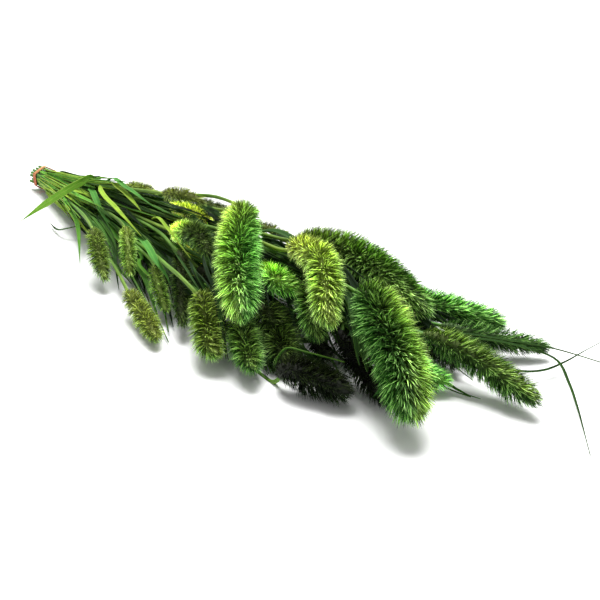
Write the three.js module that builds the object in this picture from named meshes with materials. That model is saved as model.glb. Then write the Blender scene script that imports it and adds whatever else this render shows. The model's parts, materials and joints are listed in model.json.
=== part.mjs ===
// A bunch of dyed foxtail grass lying on a table, held near its cut ends by an elastic band.
// Millimetres, +Z up, the table at z = 0. The stalks run along +X from the band to the heads.
import * as THREE from "three";

// Stems
const STEM_RADIUS_CUT = 1.25;
const STEM_RADIUS_NECK = 1.05;
const STEM_SIDES = 6;
const STEM_STATIONS = 11;
const STRAIGHT_LENGTH = 12; // how far the stems run side by side before they spread
const CUT_LENGTHS = [9, 6, 12, 8, 5]; // how far behind the first line across the stems are cut, in turn
const KNEE_ALONG = 0.45; // a stem's knee, as shares of the way from the band to its head
const KNEE_ACROSS = 0.36;
const KNEE_UP = 0.36;

// Elastic band and the bundle inside it
const SLOT_PITCH = 3.01; // from one stem's axis to the next where the band squeezes them
const SLOT_ROWS = 6; // rows of places tried on each side of the bundle's axis
const SLOT_BIAS = 0.01; // decides between places that are equally near the axis
const BUNDLE_RADIUS = 10.6;
const BAND_WIDTH = 6;
const BAND_ALONG = 6; // the middle of the band, from the same line
const BAND_THICKNESS = 1.2;
const BAND_BEVEL = 0.5;
const BAND_SIDES = 24;
const BAND_HEIGHT = BUNDLE_RADIUS + BAND_THICKNESS; // height of the bundle's axis at the band

// Heads: share of the length, and the radius there as a share of the largest
const HEAD_SIDES = 8;
const HEAD_PROFILE = [
  [0.04, 0.5],
  [0.15, 0.86],
  [0.35, 1],
  [0.6, 0.98],
  [0.82, 0.84],
  [0.94, 0.56],
  [1, 0.15],
];
const TUFT_DEPTH = 0.1; // how far every other corner of a head is drawn in, as a share of its radius

// Leaf blades
const LEAF_STATIONS = 9;
const LEAF_THICKNESS = 0.8;
const LEAF_FOLD = 0.22; // height of the midrib's fold as a share of half the width
const LEAF_ROOM = 0.75; // room that a blade keeps on each side, as a share of half its width
const LEAF_FOOT_WIDTH = 0.3; // widths at the two ends, as shares of the largest
const LEAF_TIP_WIDTH = 0.15;
const LEAF_WIDENS_TO = 0.2; // where it reaches its largest width, and where it starts to narrow
const LEAF_NARROWS_FROM = 0.55;

// Settling
const CLEARANCE = 0.5; // kept free between neighbours
const SWEEPS = 400;
const FIRM_SWEEPS = 120; // the last sweeps, which only push apart
const EVENNESS = 0.6; // how much of a bend each sweep spreads to the stations beside it
const SPRING = 0.04; // how much of its move from the drawn way each strand takes back in a sweep
const EASE = 0.5; // how much of an overlap one push takes away
const SPAN_MARGIN = 1.3; // allows for spans that stretch while they settle
const PARALLEL = 1e-9; // below this, two segments count as parallel

// One row for each stalk: where its head begins, the middle of the head, its tip, and its largest
// radius. A point is [along the bunch from the band, across it, height of the head's axis].
const STALKS = [
  // low on the near flank
  { base: [238, -61, 28], middle: [268, -71, 17], tip: [289, -77, 7], radius: 8 },
  { base: [260, -48, 32], middle: [285, -59, 24], tip: [303, -69, 11], radius: 6.6 },
  { base: [322, -82, 14], middle: [352, -87, 9], tip: [387, -96, 7], radius: 7.6 },
  { base: [326, -44, 34], middle: [357, -61, 20], tip: [385, -80, 8], radius: 7 },
  { base: [316, -60, 24], middle: [336, -67, 15], tip: [358, -74, 7], radius: 6.4 },
  // along the far side
  { base: [193, -10, 42], middle: [220, -10, 45], tip: [239, -8, 44], radius: 6 },
  { base: [270, -23, 54], middle: [296, -21, 57], tip: [309, -11, 52], radius: 6.8 },
  { base: [319, -2, 48], middle: [330, 3, 50], tip: [330, 14, 47], radius: 4.8 },
  // over the middle
  { base: [256, -10, 40], middle: [287, -12, 42], tip: [310, -9, 40], radius: 7.4 },
  { base: [303, -36, 38], middle: [337, -39, 44], tip: [366, -47, 37], radius: 9.2 },
  { base: [298, -23, 24], middle: [322, -28, 20], tip: [351, -40, 16], radius: 9 },
  { base: [355, -21, 60], middle: [395, -47, 45], tip: [437, -75, 22], radius: 14.2 },
  { base: [384, -64, 25], middle: [407, -72, 17], tip: [433, -81, 10], radius: 9 },
  { base: [407, -58, 26], middle: [434, -72, 18], tip: [456, -82, 14], radius: 8.4 },
  { base: [410, -48, 22], middle: [430, -53, 12], tip: [458, -66, 9], radius: 10.8 },
  { base: [386, -31, 30], middle: [414, -36, 33], tip: [430, -25, 27], radius: 9.6 },
  { base: [413, -26, 56], middle: [449, -30, 53], tip: [485, -53, 33], radius: 10.8 },
  { base: [427, -32, 31], middle: [450, -42, 27], tip: [463, -46, 16], radius: 9.4 },
  { base: [368, -13, 34], middle: [396, -12, 34], tip: [420, -7, 31], radius: 7.4 },
  // towards the far end
  { base: [376, 7, 40], middle: [418, 22, 34], tip: [486, 17, 14], radius: 14 },
  { base: [464, -27, 42], middle: [503, -40, 28], tip: [541, -61, 9], radius: 15 },
  { base: [486, -31, 22], middle: [502, -18, 12], tip: [518, -7, 9], radius: 8.8 },
  { base: [490, -4, 22], middle: [527, 4, 13], tip: [561, 4, 7], radius: 10.2 },
  { base: [440, 21, 27], middle: [470, 38, 20], tip: [500, 58, 12], radius: 11.4 },
  { base: [478, 20, 16], middle: [502, 45, 10], tip: [523, 66, 6], radius: 8.4 },
  { base: [456, -65, 18], middle: [476, -59, 12], tip: [500, -53, 10], radius: 10.5 },
  { base: [458, -38, 18], middle: [490, -42, 11], tip: [516, -48, 8], radius: 9.2 },
  // underneath and behind
  { base: [330, 22, 20], middle: [362, 34, 12], tip: [394, 40, 9], radius: 10 },
  { base: [392, 42, 14], middle: [420, 52, 9], tip: [450, 58, 8], radius: 9 },
  { base: [424, -12, 20], middle: [449, -22, 14], tip: [472, -28, 8], radius: 7.5 },
  { base: [466, 16, 18], middle: [488, 13, 11], tip: [510, 7, 8], radius: 8 },
  { base: [329, 6, 41], middle: [348, 10, 40], tip: [366, 15, 36], radius: 6 },
  { base: [392, -36, 21], middle: [407, -29, 16], tip: [425, -22, 11], radius: 9 },
  { base: [343, -44, 26], middle: [354, -45, 15], tip: [376, -54, 8], radius: 7.5 },
  { base: [338, 3, 29], middle: [362, 1, 27], tip: [382, 1, 25], radius: 6.5 },
  { base: [245, 18, 36], middle: [275, 15, 38], tip: [299, 16, 39], radius: 6.4 },
  { base: [434, -40, 18], middle: [449, -41, 11], tip: [464, -40, 8], radius: 7.5 },
];

// One row for each leaf blade: where it grows from the nearest stem, two points that it passes, its
// tip, its largest width, and the way that its upper side faces where that isn't up.
const LEAVES = [
  // the bright one that points back past the band, and a withered one below it
  {
    foot: [124, 2, 38],
    through: [[131, -22, 33], [121, -43, 21]],
    tip: [106, -64, 4],
    width: 6,
    faces: [0.7, -0.55, 0.45],
  },
  { foot: [168, -42, 14], through: [[160, -48, 8], [146, -49, 4]], tip: [118, -44, 2], width: 1.8 },
  // along the stems
  { foot: [107, -6, 30], through: [[150, -20, 32], [188, -33, 32]], tip: [235, -47, 26], width: 5 },
  { foot: [154, -21, 38], through: [[200, -34, 41], [248, -46, 41]], tip: [294, -54, 36], width: 3.6 },
  { foot: [173, -13, 41], through: [[200, -20, 43], [225, -26, 43]], tip: [262, -36, 42], width: 4 },
  { foot: [148, -9, 40], through: [[182, -16, 43], [216, -23, 46]], tip: [273, -32, 46], width: 4 },
  { foot: [109, -27, 22], through: [[145, -38, 20], [182, -48, 17]], tip: [236, -72, 4], width: 3.4 },
  { foot: [208, -35, 24], through: [[242, -44, 19], [275, -50, 14]], tip: [310, -58, 6], width: 3.4 },
  { foot: [266, -31, 42], through: [[296, -42, 46], [322, -50, 46]], tip: [352, -53, 36], width: 4 },
  { foot: [285, -52, 36], through: [[302, -56, 34], [318, -58, 29]], tip: [339, -60, 16], width: 5 },
  { foot: [286, -60, 24], through: [[299, -62, 21], [313, -62, 17]], tip: [330, -59, 12], width: 2.2 },
  { foot: [120, 14, 26], through: [[150, 28, 22], [190, 36, 16]], tip: [240, 40, 6], width: 5 },
  { foot: [230, 10, 30], through: [[280, 22, 34], [320, 30, 32]], tip: [366, 44, 24], width: 5 },
  { foot: [150, 4, 10], through: [[195, 13, 6], [235, 20, 3]], tip: [280, 26, 2.5], width: 4 },
  // among the heads
  { foot: [362, -12, 49], through: [[378, -12, 51], [394, -12, 51]], tip: [416, -12, 47], width: 5 },
  { foot: [452, -60, 19], through: [[462, -66, 20], [474, -62, 19]], tip: [486, -52, 17], width: 2 },
  // the dark ones that stand out past the far heads
  { foot: [466, 4, 25], through: [[500, 22, 20], [528, 52, 13]], tip: [543, 76, 3], width: 2.6 },
  { foot: [478, 6, 16], through: [[521, 13, 12], [533, 36, 6]], tip: [536, 85, 9], width: 2.6 },
  { foot: [474, 0, 24], through: [[532, 49, 10], [555, 33, 4]], tip: [590, -5, 2], width: 2.6 },
];

const lerp = THREE.MathUtils.lerp;
const smoothstep = THREE.MathUtils.smoothstep;
const vector = (point) => new THREE.Vector3(...point);
const UP = [0, 0, 1];

// Hexagonal places for the stems inside the band, the ones nearest its centre.
function bandSlots(count) {
  const slots = [];
  for (let row = -SLOT_ROWS; row <= SLOT_ROWS; row++) {
    for (let place = -SLOT_ROWS; place <= SLOT_ROWS; place++) {
      const across = row * SLOT_PITCH * Math.sqrt(0.75);
      const up = (place + (row % 2 ? 0.5 : 0)) * SLOT_PITCH;
      slots.push({ across, up, reach: Math.hypot(across, up + SLOT_BIAS) });
    }
  }
  return slots.sort((a, b) => a.reach - b.reach).slice(0, count);
}

// Gives each stalk a place in the band on the side that its head lies on, so that few stems cross.
function placesInBand() {
  const slots = bandSlots(STALKS.length).sort((a, b) => a.across - b.across);
  const order = STALKS.map(({ base }, index) => ({
    index,
    side: base[1] / base[0],
    height: base[2],
  })).sort((a, b) => a.side - b.side);
  const places = [];
  for (let start = 0; start < slots.length; ) {
    let end = start;
    const sameColumn = (slot) => slot.across - slots[start].across < SLOT_PITCH / 2;
    while (end < slots.length && sameColumn(slots[end])) end++;
    const column = slots.slice(start, end).sort((a, b) => a.up - b.up);
    const stalks = order.slice(start, end).sort((a, b) => a.height - b.height);
    stalks.forEach((stalk, place) => (places[stalk.index] = column[place]));
    start = end;
  }
  return places;
}

// A stalk's axis from its cut end to the tip of its head, with the radius at each station. The first
// stations, in the band, are held where they are.
function stalkStrand(stalk, place, index) {
  const foot = new THREE.Vector3(STRAIGHT_LENGTH, place.across, BAND_HEIGHT + place.up);
  const base = vector(stalk.base);
  const knee = new THREE.Vector3(
    lerp(foot.x, base.x, KNEE_ALONG),
    lerp(foot.y, base.y, KNEE_ACROSS),
    lerp(foot.z, base.z, KNEE_UP),
  );
  const way = new THREE.CatmullRomCurve3(
    [foot, knee, base, vector(stalk.middle), vector(stalk.tip)],
    false,
    "centripetal",
  );
  // The head begins at the third of the five points, which is halfway through the samples.
  const lengths = way.getLengths();
  const neck = lengths[lengths.length >> 1] / lengths.at(-1);
  const points = [foot.clone().setX(-CUT_LENGTHS[index % CUT_LENGTHS.length])];
  const radii = [STEM_RADIUS_CUT];
  for (let station = 0; station < STEM_STATIONS - 1; station++) {
    const share = station / (STEM_STATIONS - 2);
    points.push(way.getPointAt(neck * share));
    radii.push(lerp(STEM_RADIUS_CUT, STEM_RADIUS_NECK, share));
  }
  for (const [share, size] of HEAD_PROFILE) {
    points.push(way.getPointAt(lerp(neck, 1, share)));
    radii.push(stalk.radius * size);
  }
  return { points, radii, held: 2 };
}

// The point of a stem's axis that is nearest to a point, and the stem's radius there.
function nearestStem(stalks, point) {
  const choices = stalks.flatMap(({ points, radii }) =>
    points.slice(2, STEM_STATIONS).map((end, k) => {
      const start = points[k + 1];
      const at = new THREE.Line3(start, end).closestPointToPoint(point, true, new THREE.Vector3());
      return { at, radius: radii[k + 1], distance: at.distanceTo(point) };
    }),
  );
  return choices.sort((a, b) => a.distance - b.distance)[0];
}

// A leaf's midrib from its foot on a stem to its tip, with half its width at each station.
function leafStrand(leaf, stalks) {
  const drawn = vector(leaf.foot);
  const stem = nearestStem(stalks, drawn);
  const away = drawn.clone().sub(stem.at).normalize();
  const foot = stem.at.clone().addScaledVector(away, stem.radius + LEAF_THICKNESS + CLEARANCE);
  const way = new THREE.CatmullRomCurve3([foot, ...leaf.through.map(vector), vector(leaf.tip)]);
  const points = [];
  const halves = [];
  for (let step = 0; step < LEAF_STATIONS; step++) {
    const share = step / (LEAF_STATIONS - 1);
    points.push(way.getPointAt(share));
    const widened = lerp(LEAF_FOOT_WIDTH, 1, smoothstep(share, 0, LEAF_WIDENS_TO));
    const narrowed = lerp(1, LEAF_TIP_WIDTH, smoothstep(share, LEAF_NARROWS_FROM, 1));
    halves.push((leaf.width / 2) * widened * narrowed);
  }
  const radii = halves.map((half) => Math.max(LEAF_ROOM * half, LEAF_THICKNESS));
  return { points, radii, halves, held: 1, faces: vector(leaf.faces ?? UP) };
}

// The nearest points of two segments, as shares along each, and the gap vector between them.
const spanA = new THREE.Vector3();
const spanB = new THREE.Vector3();
const between = new THREE.Vector3();
function nearest(a0, a1, b0, b1) {
  spanA.subVectors(a1, a0);
  spanB.subVectors(b1, b0);
  between.subVectors(a0, b0);
  const aa = spanA.dot(spanA);
  const bb = spanB.dot(spanB);
  const ab = spanA.dot(spanB);
  const ac = spanA.dot(between);
  const bc = spanB.dot(between);
  const clamp = (value) => Math.min(1, Math.max(0, value));
  const spread = aa * bb - ab * ab;
  let s = spread > PARALLEL * aa * bb ? clamp((ab * bc - ac * bb) / spread) : 0.5;
  const t = clamp((ab * s + bc) / bb);
  s = clamp((ab * t - ac) / aa);
  between.addScaledVector(spanA, s).addScaledVector(spanB, -t);
  return [s, t];
}

// Moves the two ends of a segment so that its point at the share moves by the amount.
function shove(strand, station, share, direction, amount) {
  const weights = [1 - share, share];
  const total = weights[0] ** 2 + weights[1] ** 2;
  weights.forEach((weight, end) => {
    if (station + end < strand.held) return;
    strand.points[station + end].addScaledVector(direction, (amount * weight) / total);
  });
}

// Moves two strands apart where they are closer than the clearance. The thinner one gives way.
const direction = new THREE.Vector3();
function pushApart(a, b) {
  for (let i = 0; i + 1 < a.points.length; i++) {
    for (let j = 0; j + 1 < b.points.length; j++) {
      const thick = Math.max(a.radii[i], a.radii[i + 1]) + Math.max(b.radii[j], b.radii[j + 1]);
      const reach = thick + CLEARANCE + a.spans[i] + b.spans[j];
      if (a.points[i].distanceToSquared(b.points[j]) > reach * reach) continue;
      const [s, t] = nearest(a.points[i], a.points[i + 1], b.points[j], b.points[j + 1]);
      const radiusA = lerp(a.radii[i], a.radii[i + 1], s);
      const radiusB = lerp(b.radii[j], b.radii[j + 1], t);
      const distance = between.length();
      const overlap = radiusA + radiusB + CLEARANCE - distance;
      if (overlap <= 0) continue;
      direction.copy(between).divideScalar(distance || 1);
      const shareA = b.fixed ? 1 : radiusB / (radiusA + radiusB);
      shove(a, i, s, direction, EASE * overlap * shareA);
      if (!b.fixed) shove(b, j, t, direction, -EASE * overlap * (1 - shareA));
    }
  }
}

// Lets each strand's displacement from its drawn way even out along it, so that it bends smoothly.
function smooth(strand) {
  const moved = strand.points.map((point, k) => point.clone().sub(strand.drawn[k]));
  for (let k = strand.held; k < strand.points.length; k++) {
    const before = moved[k - 1];
    const after = moved[Math.min(k + 1, moved.length - 1)];
    const even = before.clone().add(after).multiplyScalar(0.5);
    const kept = moved[k].clone().lerp(even, EVENNESS).multiplyScalar(1 - SPRING);
    strand.points[k].addVectors(strand.drawn[k], kept);
  }
}

function prepare(strand) {
  strand.drawn = strand.points.map((point) => point.clone());
  strand.spans = strand.points
    .slice(1)
    .map((point, k) => SPAN_MARGIN * point.distanceTo(strand.points[k]));
}

function measure(strand) {
  const thick = Math.max(...strand.radii) + CLEARANCE;
  strand.box = new THREE.Box3().setFromPoints(strand.points).expandByScalar(thick);
}

// Pushes the strands apart, off the fixed ones and up from the table until none touches another.
function settle(strands, fixed = []) {
  strands.forEach(prepare);
  for (let sweep = 0; sweep < SWEEPS; sweep++) {
    strands.forEach(measure);
    strands.forEach((strand, index) => {
      for (const other of [...strands.slice(index + 1), ...fixed]) {
        if (strand.box.intersectsBox(other.box)) pushApart(strand, other);
      }
    });
    for (const strand of strands) {
      if (sweep < SWEEPS - FIRM_SWEEPS) smooth(strand);
      strand.points.forEach((point, k) => {
        if (k >= strand.held) point.z = Math.max(point.z, strand.radii[k]);
      });
    }
  }
  for (const strand of strands) strand.fixed = true;
}

// Directions across a strand at each station, carried along it without twist.
function crossings(points, faces) {
  let up = faces;
  return points.map((point, k) => {
    const way = points[Math.min(k + 1, points.length - 1)].clone();
    way.sub(points[Math.max(k - 1, 0)]).normalize();
    up = up.clone().addScaledVector(way, -up.dot(way)).normalize();
    return { up, side: new THREE.Vector3().crossVectors(up, way) };
  });
}

// Triangles between two rings that may have different numbers of corners.
function stitch(faces, startA, sidesA, startB, sidesB) {
  let a = 0;
  let b = 0;
  while (a < sidesA || b < sidesB) {
    const cornerA = startA + (a % sidesA);
    const cornerB = startB + (b % sidesB);
    if ((a + 1) / sidesA <= (b + 1) / sidesB) {
      a += 1;
      faces.push(cornerA, startA + (a % sidesA), cornerB);
    } else {
      b += 1;
      faces.push(cornerA, startB + (b % sidesB), cornerB);
    }
  }
}

// A closed skin over rings of points, with a single point at each end.
function skin(startPoint, rings, endPoint) {
  const positions = [startPoint, ...rings.flat(), endPoint];
  const faces = [];
  let start = 1;
  stitch(faces, 0, 1, 1, rings[0].length);
  rings.forEach((ring, index) => {
    const next = rings[index + 1] ?? [endPoint];
    stitch(faces, start, ring.length, start + ring.length, next.length);
    start += ring.length;
  });
  const used = [];
  for (let corner = 0; corner < faces.length; corner += 3) {
    const [a, b, c] = faces.slice(corner, corner + 3);
    if (a !== b && b !== c && c !== a) used.push(a, b, c);
  }
  const geometry = new THREE.BufferGeometry().setFromPoints(positions);
  geometry.setIndex(used);
  geometry.computeVertexNormals();
  return geometry;
}

function ringAround(centre, { up, side }, sides, radiusAt) {
  return Array.from({ length: sides }, (_, corner) => {
    const angle = (2 * Math.PI * corner) / sides;
    return centre
      .clone()
      .addScaledVector(side, radiusAt(corner) * Math.cos(angle))
      .addScaledVector(up, radiusAt(corner) * Math.sin(angle));
  });
}

// A stalk is a thin stem and a spindle-shaped head, grown as one. The head's corners stand in and
// out by turns, like its tufts of bristles.
function stalkGeometry({ points, radii }) {
  const cuts = crossings(points, vector(UP));
  const rings = points.slice(0, -1).map((point, k) => {
    if (k < STEM_STATIONS) return ringAround(point, cuts[k], STEM_SIDES, () => radii[k]);
    const radiusAt = (corner) => radii[k] * ((corner + k) % 2 ? 1 - TUFT_DEPTH : 1);
    return ringAround(point, cuts[k], HEAD_SIDES, radiusAt);
  });
  return skin(points[0], rings, points.at(-1));
}

// A blade is a thin strip folded a little along its midrib.
function leafGeometry({ points, halves, faces }) {
  const cuts = crossings(points, faces);
  const rings = points.slice(1, -1).map((point, k) => {
    const { up, side } = cuts[k + 1];
    const half = halves[k + 1];
    const fold = LEAF_FOLD * half;
    const corner = (across, lift) =>
      point.clone().addScaledVector(side, across).addScaledVector(up, lift);
    return [
      corner(half, fold),
      corner(0, LEAF_THICKNESS / 2),
      corner(-half, fold),
      corner(0, -LEAF_THICKNESS / 2),
    ];
  });
  return skin(points[0], rings, points.at(-1));
}

function bandGeometry() {
  const edge = BAND_WIDTH / 2;
  const outer = BUNDLE_RADIUS + BAND_THICKNESS;
  const profile = [
    [BUNDLE_RADIUS, -edge],
    [outer, -edge + BAND_BEVEL],
    [outer, edge - BAND_BEVEL],
    [BUNDLE_RADIUS, edge],
    [BUNDLE_RADIUS, -edge],
  ].map(([radius, along]) => new THREE.Vector2(radius, along));
  return new THREE.LatheGeometry(profile, BAND_SIDES);
}

// Finishes
const GREEN = new THREE.Color(0x4f8a22);
const LIME = new THREE.Color(0x8a9a2c);
const LEAF_GREEN = new THREE.Color(0x3f8030);
const TAN = new THREE.Color(0xc98a4b);
const STALK_SHADES = 4;

function finish(color, roughness) {
  return new THREE.MeshStandardMaterial({ color, roughness, metalness: 0 });
}

function stalkFinish(index) {
  return finish(GREEN.clone().lerp(LIME, (index % STALK_SHADES) / STALK_SHADES), 0.85);
}

function add(group, name, geometry, material) {
  const mesh = new THREE.Mesh(geometry, material);
  mesh.name = name;
  group.add(mesh);
  return mesh;
}

const twoDigits = (index) => String(index + 1).padStart(2, "0");
const bunch = new THREE.Group();

const places = placesInBand();
const stalks = STALKS.map((stalk, index) => stalkStrand(stalk, places[index], index));
settle(stalks);
stalks.forEach((strand, index) => {
  add(bunch, `stalk_${twoDigits(index)}`, stalkGeometry(strand), stalkFinish(index));
});

const leaves = LEAVES.map((leaf) => leafStrand(leaf, stalks));
settle(leaves, stalks);
leaves.forEach((strand, index) => {
  add(bunch, `leaf_${twoDigits(index)}`, leafGeometry(strand), finish(LEAF_GREEN, 0.5));
});

const band = add(bunch, "band", bandGeometry(), finish(TAN, 0.55));
band.rotation.z = -Math.PI / 2;
band.position.set(BAND_ALONG, 0, BAND_HEIGHT);

// The origin is the middle of the bunch's outline, on the table.
const outline = new THREE.Box3().setFromObject(bunch, true);
const centre = outline.getCenter(new THREE.Vector3());
bunch.position.set(-centre.x, -centre.y, -outline.min.z);

export default bunch;
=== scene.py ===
"""A bunch of dyed foxtail grass on a pale table: bristly heads, stems, leaf blades, a rubber band.

Metres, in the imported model's frame. The way that a stem, head or blade follows is read from its
solid, and the pieces here are its fine form: bristles, grains, sheaths, veins, rubber strands.
"""
import json
import math

import bpy
import numpy as np
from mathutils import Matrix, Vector, noise


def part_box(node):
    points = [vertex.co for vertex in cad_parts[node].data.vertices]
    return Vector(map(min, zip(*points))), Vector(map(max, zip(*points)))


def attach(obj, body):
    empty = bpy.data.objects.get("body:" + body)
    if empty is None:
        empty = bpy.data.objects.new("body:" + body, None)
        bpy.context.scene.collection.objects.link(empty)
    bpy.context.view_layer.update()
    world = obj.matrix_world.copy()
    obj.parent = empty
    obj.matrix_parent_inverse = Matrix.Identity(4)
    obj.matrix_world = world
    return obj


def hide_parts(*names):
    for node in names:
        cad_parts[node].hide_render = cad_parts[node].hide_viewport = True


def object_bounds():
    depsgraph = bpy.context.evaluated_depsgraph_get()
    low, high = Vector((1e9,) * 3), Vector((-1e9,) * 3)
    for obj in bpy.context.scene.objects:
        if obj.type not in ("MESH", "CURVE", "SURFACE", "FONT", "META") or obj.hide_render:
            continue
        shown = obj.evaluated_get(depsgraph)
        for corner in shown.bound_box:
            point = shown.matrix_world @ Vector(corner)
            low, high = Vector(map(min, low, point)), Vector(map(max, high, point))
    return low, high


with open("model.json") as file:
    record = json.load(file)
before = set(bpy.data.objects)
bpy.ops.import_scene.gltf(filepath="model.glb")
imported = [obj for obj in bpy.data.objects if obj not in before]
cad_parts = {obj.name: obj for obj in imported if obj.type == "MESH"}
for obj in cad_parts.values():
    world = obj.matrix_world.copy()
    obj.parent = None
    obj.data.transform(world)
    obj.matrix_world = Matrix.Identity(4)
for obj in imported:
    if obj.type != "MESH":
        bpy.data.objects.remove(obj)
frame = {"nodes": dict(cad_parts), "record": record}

CAD_BOX = [list(corner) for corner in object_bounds()]
TABLE_HEIGHT = CAD_BOX[0][2]
MM = 0.001

# Reading the solids
WELD = 0.002 * MM          # corners nearer than this are one
FOOT_DEPTH = 0.05 * MM     # how far a stalk's cut end reaches along the bundle
HEAD_CORNERS = 8           # a head's rings have this many corners in the solids, a stem's fewer

# Heads
CORE_SHARE = 0.36          # the seeded core's radius, as a share of the head's
CORE_START = 0.01          # where the core starts and stops, as shares of the head's length
CORE_END = 0.9
CORE_ROUNDING = (0.12, 0.2)  # the shares of that length over which its two ends are rounded
CORE_RINGS = 30
CORE_SIDES = 12
TUFTS_PER_MM2 = 1.15       # tufts for each square millimetre of a head's length times its radius
GRAINS_PER_MM2 = 0.2
BRISTLE_WIDTH = 0.046      # at its root, as a share of its length
BRISTLE_BEND = 0.14        # how far its tip bends towards the head's tip, as a share of its length
LEANS = ([0, 0.45, 0.75, CORE_END], [80, 62, 46, 12])  # degrees from the axis, along the head
BRISTLE_JITTER = 0.24      # how far a tuft's direction strays from that
SHORTEST_BRISTLE = 0.74    # as a share of the longest one at its place
STRAY = 1.2                # the form that the longest bristles reach, as a share of the solid's
SHAGGY = {3: 1.3, 13: 1.5, 14: 1.5, 15: 1.4, 18: 1.35, 21: 1.3}  # and on the shaggier heads
REACH_STEP = 0.15 * MM     # how closely a bristle's reach is measured
REACH_LIMITS = (1.5 * MM, 14 * MM)
UNEVEN = 0.16              # how much their reach varies in patches, as a share of it
PATCH = 7 * MM             # how large these patches are
GRAIN_LENGTH = 0.3         # as a share of the bristles' reach
GRAIN_WIDTH = 0.5          # as a share of its own length
GRAIN_JITTER = 0.3
SHORTEST_GRAIN = 0.75
GRAIN_SEEDS = 100          # what is added to a head's number for its grains' seed

# Each head's colour: how yellow it is at its foot and at its tip, from 0 to 1, and its brightness,
# which is painted light and shade: darker for heads that lie in shade, brighter for heads in light
HEAD_TINTS = {
    1: (0.45, 0.35, 0.98), 2: (0.55, 0.30, 1.55), 3: (0.65, 0.60, 1.00), 4: (0.35, 0.15, 0.36),
    5: (0.35, 0.25, 1.40), 6: (0.75, 0.60, 1.20), 7: (0.80, 0.65, 0.85), 8: (0.85, 0.75, 0.90),
    9: (0.97, 0.95, 3.40), 10: (0.90, 0.15, 0.45), 11: (0.90, 0.80, 3.20), 12: (0.66, 0.12, 1.42),
    13: (0.50, 0.40, 1.05), 14: (0.20, 0.08, 0.85), 15: (0.25, 0.12, 0.42), 16: (0.35, 0.12, 2.60),
    17: (0.95, 0.42, 1.60), 18: (0.25, 0.08, 0.88), 19: (0.85, 0.75, 0.40), 20: (0.55, 0.12, 1.00),
    21: (0.25, 0.06, 0.80), 22: (0.00, 0.00, 1.70), 23: (0.12, 0.02, 0.62), 24: (0.00, 0.00, 0.85),
    25: (0.00, 0.00, 0.42), 26: (0.25, 0.10, 0.06), 27: (0.20, 0.10, 0.06), 28: (0.30, 0.20, 0.15),
    29: (0.30, 0.20, 0.20), 30: (0.20, 0.10, 0.08), 31: (0.20, 0.05, 0.18), 32: (0.80, 0.60, 0.90),
    33: (0.20, 0.10, 0.08), 34: (0.40, 0.30, 0.18), 35: (0.30, 0.20, 0.12), 36: (0.45, 0.35, 0.60),
    37: (0.20, 0.10, 0.08),
}
TIP_COLOUR_RISE = 2.2      # how soon along a head its foot's colour gives way to its tip's
# Painted light: some heads' painted brightness is raised towards their foot
BRIGHT_FEET = {10: 8.5}    # how much brighter some heads are at their foot
FOOT_FADE = (0.15, 0.4)    # the shares of a head between which that fades

# The side of a head that is painted as lit, and how much yellower and brighter it is painted there:
# painted light
USUAL_LIT_SIDE = ((0, 0, 1), 0.25, 0.2)
LIT_SIDES = {
    12: ((-0.7, -0.7, 0.3), 0.3, 0.15),
    20: ((-0.3, -0.4, 0.7), 0.2, 0.2),
    21: ((0.6, 0.7, 0.3), 0.4, 0.8),
    22: ((0, 0, 1), 0.0, 0.6),
    23: ((0, 0, 1), 0.4, 0.7),
    24: ((0, 0, 1), 0.05, 1.4),
    25: ((0, 0, 1), 0.05, 1.0),
}

# Stems
STEM_SIDES = 10
STEM_STEP = 4 * MM
NODE_SWELL = 0.25          # how much thicker a stem is at its nodes, as a share of its radius
SHEATH_SWELL = 0.1         # and where a leaf's sheath is wrapped round it
NODE_WIDTH = 1.6 * MM
SHEATH_SHARE = 0.24        # how long a sheath is, as a share of the stem's length
STEM_RIBS = 3
RIB_HEIGHT = 0.05          # as a share of the stem's radius
STEM_WARMTH = ([0.3, 0.8, 1], [0.1, 0.45, 1.0])  # how a stem takes on its head's yellow, along it

# Leaf blades
BLADE_COLUMNS = 7
BLADE_STEP = 3 * MM
BLADE_THICKNESS = 0.3 * MM
BLADE_POINT = 0.12 * MM    # half the width of a blade at its ends
BLADE_KEEL = 0.25 * MM     # how deep the groove along its midrib is
KEEL_SHARE = 0.16          # and how wide, as a share of half its width
BLADE_CURL, BLADE_WAVE = 0.28, 0.3  # how far its edges rise, as a share of half its width,
                           # and how much that varies
WAVE_RATE = 160            # radians of that wave for each metre
WIDE_BLADE = 0.7 * MM      # from this half width on, a solid's ring shows which way the blade faces
THREADS = {9: 0.55, 16: 0.6, 17: 0.6, 18: 0.6, 19: 0.65}  # the thinnest, as shares of their solids
LOOSE_STATIONS = 12
LOOSE_COLUMNS = 5
LOOSE_STEP = 6 * MM
LOOSE_CURL, LOOSE_WAVE = 0.35, 0.2
LOOSE_CLEARANCE = 2.4 * MM  # how high over the table a loose blade's midrib stays
TAPER_AT = [0, 0.15, 0.55, 1]  # shares of a loose blade's length, and its widths there
LOOSE_TAPER = [0.5, 1, 0.85, 0.05]
INNER_TAPER = [0.3, 1, 0.85, 0.05]
LAST_SHARE = 0.97          # a loose blade ends before this share of what is left of its stem
INNER_END = 0.98           # and an inner blade before this share of its stalks
STEM_CLEARANCE = 1.9       # how far from its stem's middle a loose blade starts, in mm
LOOSE_RISES = (0.3, 3.2)   # how much further out its tip is, in mm
LOOSE_DRIFTS = (-4, 4)     # how far it strays round its stem, in mm
LOOSE_TURNS = (0, 1.4)     # how far it turns about itself, in radians
INNER_PLACES = (0.15, 0.5)   # where an inner blade starts, from its first stalk to its second
INNER_DRIFTS = (-0.1, 0.4)   # how far it strays towards the second
INNER_TURNS = (-1.2, 1.2)

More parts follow.
